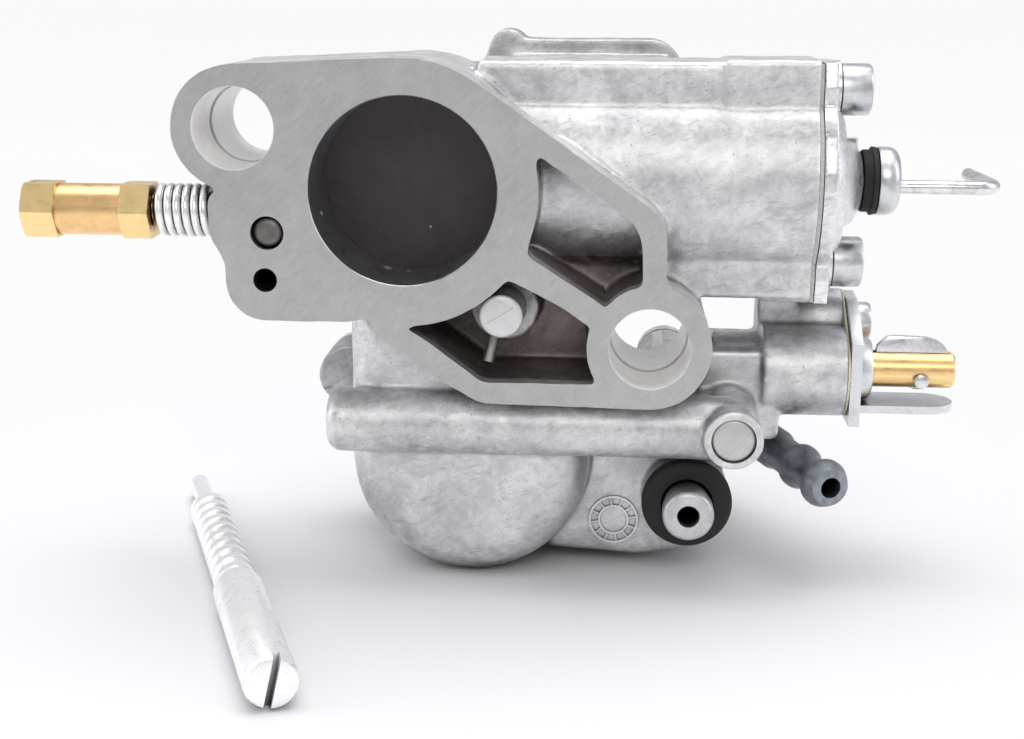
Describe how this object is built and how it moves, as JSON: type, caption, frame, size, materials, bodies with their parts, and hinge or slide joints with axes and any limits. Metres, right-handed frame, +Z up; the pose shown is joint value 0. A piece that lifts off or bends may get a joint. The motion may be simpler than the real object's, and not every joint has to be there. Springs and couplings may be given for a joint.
{
  "type": "carburetor",
  "caption": "Horizontal-slide scooter carburettor with 24 mm bore, offset two-lug engine flange, side float bowl, starter plunger and swivel fuel inlet.",
  "frame": {"origin": "on the engine flange face, 14.3 mm straight below the centre line of the 24 mm bore", "axes": "+X along the throttle slide towards its cover, +Y along the bore from the engine flange towards the air-filter seat, +Z up while the carburettor stands on its float bowl on a bench"},
  "size_m": [0.1293, 0.1029, 0.0739],
  "materials": {
    "cast_alloy": "pressure-cast light alloy, mottled as-cast skin with matt machined faces",
    "cover_alloy": "pressure-cast alloy, smoother than the body",
    "brass": "turned bright brass",
    "bright_steel": "bright drawn steel",
    "dark_slide": "dark conversion-coated slide, near black, satin",
    "zinc_plate": "bright zinc plated steel",
    "grey_zinc": "dull grey zinc",
    "black_rubber": "moulded black rubber",
    "gasket_paper": "compressed gasket fibre",
    "float_plastic": "off-white moulded float",
    "filter_plastic": "fine woven strainer"
  },
  "bodies": {
    "carb": {"carb_body": "cast_alloy", "slide_cover": "cover_alloy", "slide_cover_gasket": "gasket_paper", "slide_cover_screw_top": "zinc_plate", "slide_cover_screw_bottom": "zinc_plate", "rod_seal": "black_rubber", "rod_cap": "zinc_plate", "slide_spring": "bright_steel", "mixture_spring": "bright_steel", "mixture_passage_plug": "grey_zinc", "idle_spring": "bright_steel", "main_passage_plug": "cover_alloy", "oil_rail_plug": "cover_alloy", "vent_tube": "bright_steel", "oil_stub": "zinc_plate", "oil_stub_seal": "black_rubber", "air_corrector_jet": "brass", "emulsion_tube": "brass", "main_jet": "brass", "pilot_jet": "brass", "starter_jet": "brass", "float_cover": "cover_alloy", "float_cover_gasket": "gasket_paper", "float_cover_screw_left": "zinc_plate", "float_cover_screw_right": "zinc_plate", "float_pin": "bright_steel", "needle_seat": "brass", "fuel_inlet_banjo": "grey_zinc", "banjo_bolt": "brass", "banjo_washer_inner": "gasket_paper", "banjo_washer_outer": "gasket_paper", "fuel_filter": "filter_plastic", "starter_spring": "bright_steel", "starter_gasket": "gasket_paper", "starter_bracket": "zinc_plate", "starter_bracket_screw": "zinc_plate"},
    "throttle": {"throttle_slide": "dark_slide", "throttle_rod": "bright_steel"},
    "mixture_adjuster": {"mixture_screw": "brass"},
    "idle_adjuster": {"idle_screw": "zinc_plate"},
    "float_arm": {"float": "float_plastic"},
    "needle": {"float_needle": "bright_steel"},
    "starter_plunger": {"starter_piston": "brass", "starter_lever_pin": "bright_steel"},
    "starter_lever_arm": {"starter_lever": "zinc_plate"}
  },
  "joints": [
    {"name": "throttle_pull", "type": "slide", "parent": "carb", "child": "throttle", "axis": [1, 0, 0], "range_m": [0, 0.025], "stiffness_N_per_m": 180, "springref_m": -0.02, "deforming": ["slide_spring"]},
    {"name": "mixture_turn", "type": "hinge", "parent": "carb", "child": "mixture_adjuster", "pos_m": [-0.02, 0.006, 0.0107], "axis": [1, 0, 0], "range_deg": [-540, 720]},
    {"name": "idle_turn", "type": "hinge", "parent": "carb", "child": "idle_adjuster", "pos_m": [0.0195, 0.0219, 0.0203], "axis": [0, -1, 0], "range_deg": [-720, 720]},
    {"name": "float_hinge", "type": "hinge", "parent": "carb", "child": "float_arm", "pos_m": [0.0076, 0.0332, -0.0155], "axis": [-1, 0, 0], "range_deg": [0, 7]},
    {"name": "needle_slide", "type": "slide", "parent": "carb", "child": "needle", "axis": [0, -1, 0], "range_m": [0, 0.00062]},
    {"name": "starter_pull", "type": "slide", "parent": "carb", "child": "starter_plunger", "axis": [1, 0, 0], "range_m": [0, 0.008], "stiffness_N_per_m": 250, "springref_m": -0.006, "deforming": ["starter_spring"]},
    {"name": "starter_lever_tilt", "type": "hinge", "parent": "starter_plunger", "child": "starter_lever_arm", "pos_m": [0.0696, 0.021, -0.0134], "axis": [0, 1, 0], "range_deg": [0, 40]}
  ],
  "couplings": [
    {"joint": "needle_slide", "follows": "float_hinge", "m_per_rad": 0.005},
    {"joint": "starter_lever_tilt", "follows": "starter_pull", "rad_per_m": 87}
  ]
}
